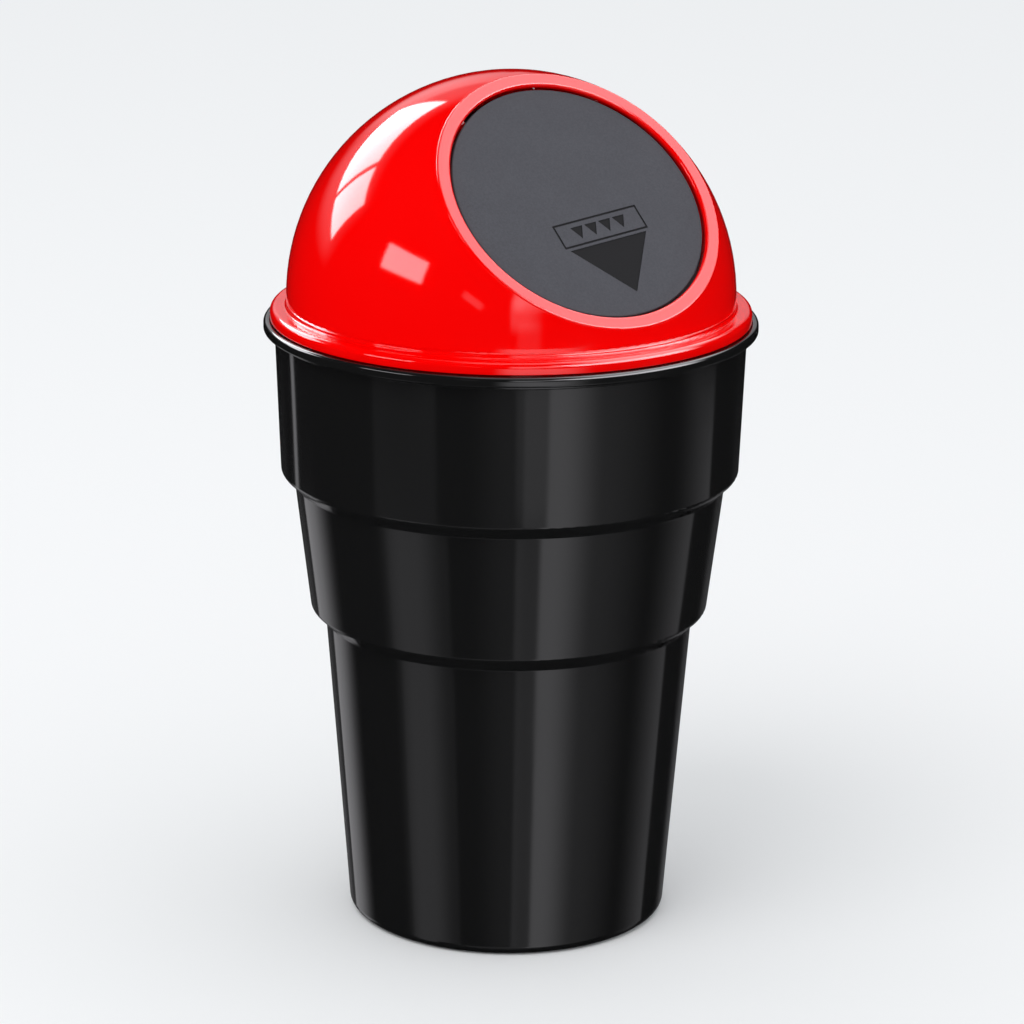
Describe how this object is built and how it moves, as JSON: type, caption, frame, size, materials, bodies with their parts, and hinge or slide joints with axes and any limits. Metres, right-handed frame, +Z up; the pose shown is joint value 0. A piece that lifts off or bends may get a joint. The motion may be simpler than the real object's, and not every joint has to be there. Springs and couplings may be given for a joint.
{
  "type": "car trash bin",
  "caption": "Round tiered waste bin for a car cup holder, with a domed press-in lid and a sprung push flap in a slanted round opening.",
  "frame": {"origin": "centre of the base, on the surface that it stands on", "axes": "+Z up, -Y towards the front, which the flap faces, +X to the right seen from the front"},
  "size_m": [0.0986, 0.0986, 0.1731],
  "materials": {
    "black_plastic": "gloss black, moulded",
    "red_plastic": "high gloss red, moulded",
    "grey_plastic": "fine spark-eroded grain, dark grey",
    "pin_steel": "drawn wire",
    "spring_steel": "drawn spring wire"
  },
  "bodies": {
    "bin": {"bin": "black_plastic"},
    "lid": {"lid": "red_plastic", "hinge_pin": "pin_steel", "return_spring": "spring_steel"},
    "flap": {"flap": "grey_plastic"}
  },
  "joints": [
    {"name": "lid_lift", "type": "slide", "parent": "bin", "child": "lid", "axis": [0, 0, 1], "range_m": [0, 0.06]},
    {"name": "flap_hinge", "type": "hinge", "parent": "lid", "child": "flap", "pos_m": [0, -0.00369, 0.16378], "axis": [1, 0, 0], "range_deg": [0, 70], "stiffness_Nm_per_rad": 0.012, "springref_deg": -60.16, "deforming": ["return_spring"]}
  ]
}
